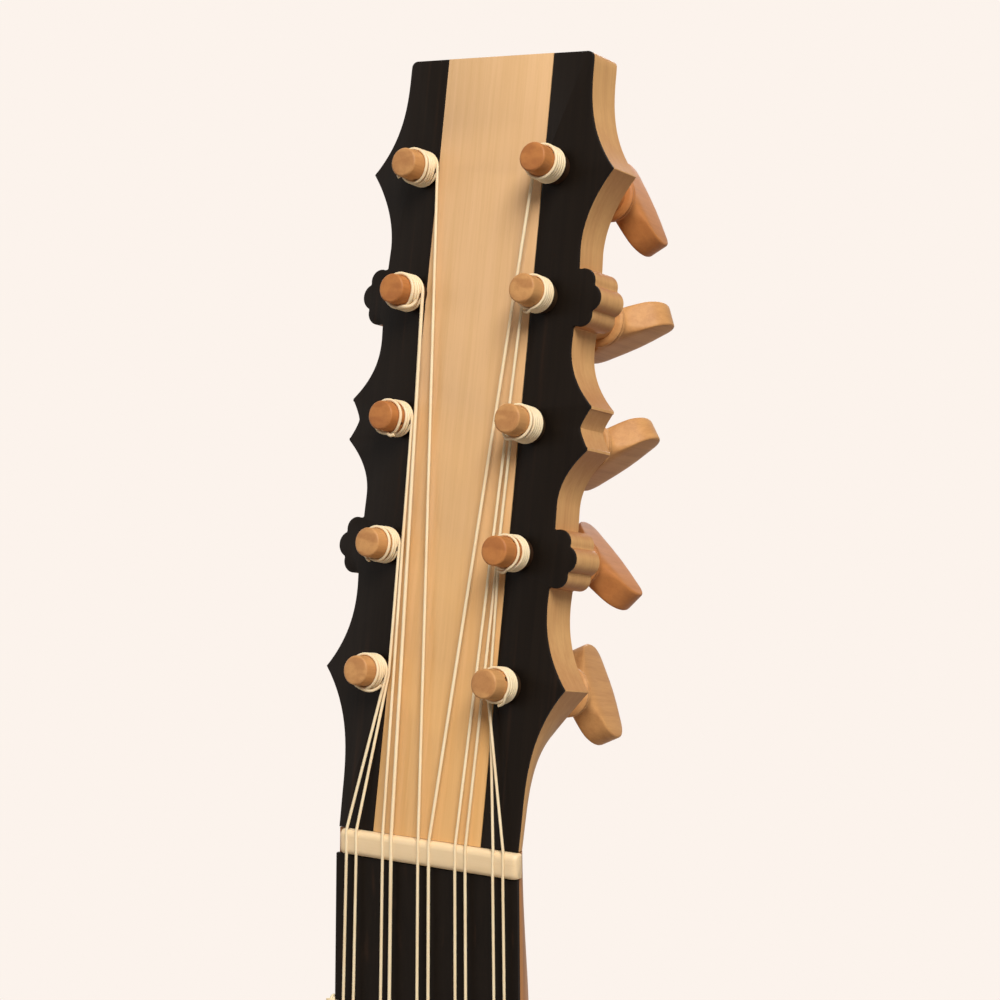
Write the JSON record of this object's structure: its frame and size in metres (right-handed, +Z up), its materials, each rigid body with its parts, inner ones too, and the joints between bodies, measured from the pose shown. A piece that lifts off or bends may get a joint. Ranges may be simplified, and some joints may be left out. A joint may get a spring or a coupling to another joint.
{
  "type": "baroque guitar",
  "caption": "Baroque guitar with a scalloped ebony-faced head, rear tuning pegs wound with gut strings, bone nut, tied frets, pierced rose and moustached bridge.",
  "frame": {"origin": "on the centre line at the upper edge of the nut, in the plane of the head's face, where a wall hanger's fork holds the neck under the head", "axes": "+Z up along the neck towards the head, +Y from the soundboard to the back, +X to the treble side of the head as seen from the front"},
  "size_m": [0.2478, 0.103, 0.9573],
  "materials": {
    "pale_wood": "thin satin varnish on maple",
    "ebony": "oiled and rubbed, soft sheen",
    "peg_wood": "turned plum wood, oiled",
    "bone": "polished bone",
    "gut": "plain gut, smooth and slightly glossy",
    "neck_wood": "satin varnish",
    "spruce": "fine straight grain, thin varnish",
    "rib_wood": "varnished fruit wood",
    "parchment": "cut parchment, matt"
  },
  "bodies": {
    "guitar": {"back_bar_1": "spruce", "back_bar_2": "spruce", "back_bar_3": "spruce", "back_bass": "rib_wood", "back_treble": "rib_wood", "bridge": "ebony", "fingerboard": "ebony", "fret_1": "gut", "fret_2": "gut", "fret_3": "gut", "fret_4": "gut", "fret_5": "gut", "fret_6": "gut", "fret_7": "gut", "fret_8": "gut", "head_centre_strip": "pale_wood", "head_core": "pale_wood", "head_veneer_bass": "ebony", "head_veneer_treble": "ebony", "lining_back_bass": "spruce", "lining_back_treble": "spruce", "lining_soundboard_bass": "spruce", "lining_soundboard_treble": "spruce", "moustache_bass": "ebony", "moustache_treble": "ebony", "neck": "neck_wood", "neck_block": "spruce", "nut": "bone", "rib_bass": "rib_wood", "rib_treble": "rib_wood", "rose": "parchment", "soundboard": "spruce", "soundboard_bar_1": "spruce", "soundboard_bar_2": "spruce", "soundboard_bar_3": "spruce", "string_1": "gut", "string_10": "gut", "string_2": "gut", "string_3": "gut", "string_4": "gut", "string_5": "gut", "string_6": "gut", "string_7": "gut", "string_8": "gut", "string_9": "gut", "tail_block": "spruce", "tail_button": "ebony"},
    "peg_bass_1": {"peg_bass_1": "peg_wood"},
    "peg_bass_2": {"peg_bass_2": "peg_wood"},
    "peg_bass_3": {"peg_bass_3": "peg_wood"},
    "peg_bass_4": {"peg_bass_4": "peg_wood"},
    "peg_bass_5": {"peg_bass_5": "peg_wood"},
    "peg_treble_1": {"peg_treble_1": "peg_wood"},
    "peg_treble_2": {"peg_treble_2": "peg_wood"},
    "peg_treble_3": {"peg_treble_3": "peg_wood"},
    "peg_treble_4": {"peg_treble_4": "peg_wood"},
    "peg_treble_5": {"peg_treble_5": "peg_wood"}
  },
  "joints": [
    {"name": "peg_bass_1_turn", "type": "hinge", "parent": "guitar", "child": "peg_bass_1", "pos_m": [-0.0187, 0.00614, 0.0373], "axis": [0, -0.9867, 0.1625], "continuous": true},
    {"name": "peg_bass_2_turn", "type": "hinge", "parent": "guitar", "child": "peg_bass_2", "pos_m": [-0.0187, 0.01108, 0.06729], "axis": [0, -0.9867, 0.1625], "continuous": true},
    {"name": "peg_bass_3_turn", "type": "hinge", "parent": "guitar", "child": "peg_bass_3", "pos_m": [-0.0187, 0.01602, 0.09729], "axis": [0, -0.9867, 0.1625], "continuous": true},
    {"name": "peg_bass_4_turn", "type": "hinge", "parent": "guitar", "child": "peg_bass_4", "pos_m": [-0.0187, 0.02096, 0.12729], "axis": [0, -0.9867, 0.1625], "continuous": true},
    {"name": "peg_bass_5_turn", "type": "hinge", "parent": "guitar", "child": "peg_bass_5", "pos_m": [-0.0187, 0.0259, 0.15728], "axis": [0, -0.9867, 0.1625], "continuous": true},
    {"name": "peg_treble_1_turn", "type": "hinge", "parent": "guitar", "child": "peg_treble_1", "pos_m": [0.0187, 0.00612, 0.03716], "axis": [0, -0.9843, 0.1762], "continuous": true},
    {"name": "peg_treble_2_turn", "type": "hinge", "parent": "guitar", "child": "peg_treble_2", "pos_m": [0.0187, 0.01109, 0.06736], "axis": [0, -0.9878, 0.1556], "continuous": true},
    {"name": "peg_treble_3_turn", "type": "hinge", "parent": "guitar", "child": "peg_treble_3", "pos_m": [0.0187, 0.01592, 0.09672], "axis": [0, -0.9753, 0.2207], "continuous": true},
    {"name": "peg_treble_4_turn", "type": "hinge", "parent": "guitar", "child": "peg_treble_4", "pos_m": [0.0187, 0.02086, 0.12666], "axis": [0, -0.9742, 0.2258], "continuous": true},
    {"name": "peg_treble_5_turn", "type": "hinge", "parent": "guitar", "child": "peg_treble_5", "pos_m": [0.0187, 0.0258, 0.15669], "axis": [0, -0.975, 0.2224], "continuous": true}
  ]
}
